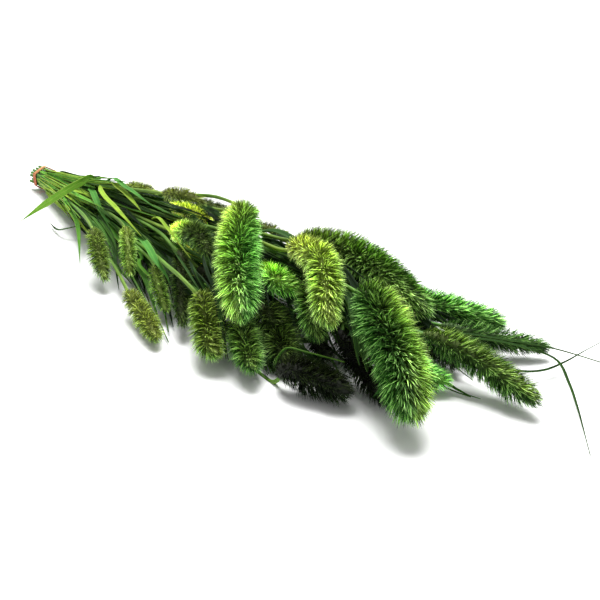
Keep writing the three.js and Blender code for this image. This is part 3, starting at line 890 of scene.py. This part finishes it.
def make_loose_blades(name, stems, finishes, count, starts, angles, halves, lengths, seed):
    """Narrow blades that leave a stem, lie along the bundle and end in a free point."""
    random = np.random.default_rng(seed)
    numbers = sorted(stems)
    meshes = [[] for _ in finishes]
    share = np.linspace(0, 1, LOOSE_STATIONS)
    for index in range(count):
        points, _ = stems[numbers[int(random.integers(len(numbers)))]]
        along = lengths_along(points)
        total = along[-1]
        start = random.uniform(*starts) * total
        length = min(random.uniform(*lengths) * MM, (total - start) * LAST_SHARE)
        centres = smooth_values(along, points, start + share * length)
        forward, up, side = crossings(centres)
        angle = random.uniform(*angles)
        out = side * math.cos(angle) + up * math.sin(angle)
        aside = np.cross(forward, out)
        spread = STEM_CLEARANCE + random.uniform(*LOOSE_RISES) * share**2
        drift = random.uniform(*LOOSE_DRIFTS) * share**1.5
        way = centres + (out * spread[:, None] + aside * drift[:, None]) * MM
        way[:, 2] = np.maximum(way[:, 2], TABLE_HEIGHT + LOOSE_CLEARANCE)
        shape = np.interp(share, TAPER_AT, LOOSE_TAPER)
        turned = np.cos(share * random.uniform(*LOOSE_TURNS))[:, None]
        ups = unit(out * turned + aside * (1 - turned))
        half = random.uniform(*halves) * MM * shape
        meshes[index % len(finishes)].append(loose_blade(way, half, ups))
    add_loose_pieces(name, meshes, finishes)


def neighbouring_pairs(stalks):
    """Each stalk with each of the few whose heads are nearest to its own."""
    heads = {number: points[-1 - len(points) // 4] for number, (points, _) in stalks.items()}
    pairs = []
    for first in stalks:
        distance = {other: np.linalg.norm(heads[other] - heads[first]) for other in stalks}
        nearby = sorted(distance, key=distance.get)[1:1 + NEIGHBOURS]
        pairs += [(first, second) for second in nearby]
    return pairs


def make_inner_blades(name, stalks, pairs, finishes, count, starts, drops, halves, lengths, seed):
    """Blades that lie between the stalks of each pair in turn, a little below them."""
    random = np.random.default_rng(seed)
    meshes = [[] for _ in finishes]
    share = np.linspace(0, 1, LOOSE_STATIONS)
    for index in range(count):
        first, second = pairs[index % len(pairs)]
        total = lengths_along(stalks[first][0])[-1]
        start = random.uniform(*starts)
        end = min(start + random.uniform(*lengths) * MM / total, INNER_END)
        ways = []
        for number in (first, second):
            points = stalks[number][0]
            along = lengths_along(points)
            ways.append(smooth_values(along, points, (start + (end - start) * share) * along[-1]))
        weight = random.uniform(*INNER_PLACES) + random.uniform(*INNER_DRIFTS) * share
        weight = weight[:, None]
        way = ways[0] * (1 - weight) + ways[1] * weight
        way[:, 2] -= random.uniform(*drops) * MM * (0.4 + 0.6 * np.sin(share * math.pi / 2))
        way[:, 2] = np.maximum(way[:, 2], TABLE_HEIGHT + LOOSE_CLEARANCE)
        _, up, side = crossings(way)
        angle = random.uniform(*INNER_TURNS)
        ups = up * math.cos(angle) + side * math.sin(angle)
        shape = np.interp(share, TAPER_AT, INNER_TAPER)
        half = random.uniform(*halves) * MM * shape
        meshes[index // len(pairs) % len(finishes)].append(loose_blade(way, half, ups))
    add_loose_pieces(name, meshes, finishes)


def make_band(stems, finish):
    """A rubber band wound four times round the bundle, pulled tight over the outermost stems."""
    low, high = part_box("band")
    axis = (np.array(low) + np.array(high)) / 2
    cuts = []
    for points, radii in stems.values():
        place = np.array([np.interp(axis[0], points[:2, 0], points[:2, k]) for k in range(3)])
        cuts.append((place[1] - axis[1], place[2] - axis[2], radii[0]))
    angles = np.linspace(0, 2 * math.pi, STRAND_STEPS, endpoint=False)
    reach = np.array([
        max(y * math.cos(angle) + z * math.sin(angle) + radius for y, z, radius in cuts)
        for angle in angles
    ])
    slope = (np.roll(reach, -1) - np.roll(reach, 1)) / (2 * angles[1])
    hug_y = reach * np.cos(angles) - slope * np.sin(angles)
    hug_z = reach * np.sin(angles) + slope * np.cos(angles)
    meshes = []
    for turn, (along, tilt, phase) in enumerate(BAND_TURNS):
        out = unit(np.stack([np.zeros_like(angles), np.cos(angles), np.sin(angles)], 1))
        lowest, rise = STRAND_LIFTS
        lift = STRAND_RADIUS * (lowest + rise * (1 + np.cos(angles * 2 + phase)))
        centres = np.stack([np.full_like(angles, axis[0] + along * MM), axis[1] + hug_y,
                            axis[2] + hug_z], 1)
        centres[:, 0] += tilt * MM * np.sin(angles + phase)
        centres += out * lift[:, None]
        forward = unit(np.roll(centres, -1, axis=0) - np.roll(centres, 1, axis=0))
        side = np.cross(forward, out)
        around = np.linspace(0, 2 * math.pi, STRAND_SIDES, endpoint=False)
        wide = out[:, None] * np.cos(around)[None, :, None] * STRAND_HEIGHT
        wide = wide + side[:, None] * np.sin(around)[None, :, None] * STRAND_WIDTH
        meshes.append(loop_mesh(f"turn_{turn}", centres[:, None] + wide * STRAND_RADIUS))
    mesh = joined("rubber_band", meshes)
    add_piece("rubber_band", mesh, [finish], ["band"])


def loop_mesh(name, rings):
    """A closed loop over rings of points, such as one turn of a band."""
    count, sides = rings.shape[:2]
    faces = []
    for k in range(count):
        ahead = (k + 1) % count
        for side in range(sides):
            following = (side + 1) % sides
            faces.append((k * sides + side, k * sides + following,
                          ahead * sides + following, ahead * sides + side))
    mesh = bpy.data.meshes.new(name)
    mesh.from_pydata(rings.reshape(-1, 3).tolist(), [], faces)
    for polygon in mesh.polygons:
        polygon.use_smooth = True
    return mesh


# The bunch
STALK_SLOTS = {
    int(part["node"][-2:]): part["material_slot"]
    for part in frame["record"]["subparts"]
    if part["node"].startswith("stalk")
}

grain = grain_finish()
bristle = bristle_finish()
stem = stem_finish()
FRESH = blade_finish("fresh_blade", (0.05, 0.22, 0.02), (0.17, 0.50, 0.05), (0.40, 0.56, 0.08))
TEAL = blade_finish("teal_blade", (0.03, 0.15, 0.02), (0.09, 0.32, 0.045), (0.22, 0.46, 0.08))
LIME_BLADE = blade_finish("lime_blade", (0.16, 0.34, 0.02), (0.38, 0.60, 0.04), (0.58, 0.66, 0.12))
BRIGHT = blade_finish("bright_blade", (0.12, 0.34, 0.03), (0.28, 0.58, 0.06), (0.52, 0.70, 0.14))
# Darker copies of the blade greens: painted shade, for blades that lie in shade and those that fill
# the gaps
DARK_SHADE = blade_finish("dark_shade_blade", (0.008, 0.035, 0.004), (0.03, 0.10, 0.012), (0.08, 0.17, 0.02))
SHADED = blade_finish("shaded_blade", (0.02, 0.085, 0.008), (0.07, 0.22, 0.02), (0.16, 0.30, 0.04))
DEEP = blade_finish("deep_shade_blade", (0.004, 0.014, 0.003), (0.012, 0.04, 0.008), (0.03, 0.07, 0.015))
band_low, band_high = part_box("band")
rubber = rubber_finish(band_low.z + 0.6 * (band_high.z - band_low.z), band_high.z)

templates = {"tuft": tuft_template(), "grain": grain_template()}
tree, identifiers = covering_tree()
stalks = {}
stems = {}
for number in sorted(STALK_SLOTS):
    layers = solid_layers(f"stalk_{number:02d}")
    centres = np.array([layer.mean(0) for layer in layers])
    radii = np.array([
        np.linalg.norm(layer - centre, axis=1).max() for layer, centre in zip(layers, centres)
    ])
    neck = next(k for k, layer in enumerate(layers) if k and len(layer) == HEAD_CORNERS) - 1
    stalks[number] = (centres, radii)
    stems[number] = (centres[:neck + 2], radii[:neck + 1].tolist() + [radii[neck]])
    make_stem(number, *stems[number], HEAD_TINTS[number][0], stem)
    finishes = {"grain": grain, "bristle": bristle}
    make_head(number, centres[neck:], radii[neck:], tree, identifiers, templates, finishes)

# The dark and shaded finishes here are painted shade
BLADE_FINISHES = {1: BRIGHT, 2: DARK_SHADE, 3: TEAL, 4: LIME_BLADE, 5: LIME_BLADE, 6: TEAL,
                  9: LIME_BLADE, 10: TEAL, 15: DARK_SHADE, 16: SHADED, 17: DARK_SHADE, 18: DARK_SHADE, 19: DARK_SHADE}
leaf_nodes = [name for name in frame["nodes"] if name.startswith("leaf")]
for number in range(1, len(leaf_nodes) + 1):
    make_blade(number, BLADE_FINISHES.get(number, FRESH))
make_loose_blades("long", stems, [FRESH, TEAL, LIME_BLADE], **LOOSE_BLADES["long"])
make_loose_blades("upper", stems, [FRESH, TEAL, LIME_BLADE, SHADED], **LOOSE_BLADES["upper"])
pairs = neighbouring_pairs(stalks)
# Dark blades in the gaps between the stalks: painted shade
make_inner_blades("inner", stalks, pairs, [DEEP, DARK_SHADE, SHADED], **INNER_BLADES)
make_inner_blades("gap", stalks, finishes=[DEEP, DARK_SHADE], **GAPS["gap"])
make_inner_blades("hanging", stalks, finishes=[SHADED, DARK_SHADE, TEAL, DARK_SHADE], **GAPS["hanging"])
make_inner_blades("tip", stalks, finishes=[DEEP, DARK_SHADE], **GAPS["tip"])
make_band(stems, rubber)

# The table, the light and the camera
bpy.ops.mesh.primitive_plane_add(size=TABLE_SIZE, location=(0, 0, TABLE_HEIGHT - TABLE_GAP))
table = bpy.context.object
table.name = "table"
table.data.materials.append(table_finish())

world = bpy.data.worlds.new("studio")
world.use_nodes = True
sky = world.node_tree.nodes["Background"]
sky.inputs["Color"].default_value = (1, 1, 1, 1)
sky.inputs["Strength"].default_value = SKY_STRENGTH
bpy.context.scene.world = world

sun = bpy.data.objects.new("softbox", bpy.data.lights.new("softbox", "SUN"))
sun.data.energy = SUN_STRENGTH
sun.data.angle = SUN_ANGLE
sun.rotation_euler = SUN_FROM.to_track_quat("Z", "Y").to_euler()
bpy.context.scene.collection.objects.link(sun)

camera = bpy.data.objects.new("camera", bpy.data.cameras.new("camera"))
camera.data.sensor_width = SENSOR_WIDTH
camera.data.lens = PHOTO_FOCAL / PHOTO_WIDTH * SENSOR_WIDTH
camera.data.clip_start = 0.01
camera.data.clip_end = 100
camera.location = CAMERA_FROM_BAND + Vector((
    (band_low.x + band_high.x) / 2, (band_low.y + band_high.y) / 2, TABLE_HEIGHT))
camera.rotation_euler = (math.pi / 2 - CAMERA_PITCH, 0, CAMERA_HEADING)
bpy.context.scene.collection.objects.link(camera)
bpy.context.scene.camera = camera

bpy.context.scene.view_settings.view_transform = "Standard"
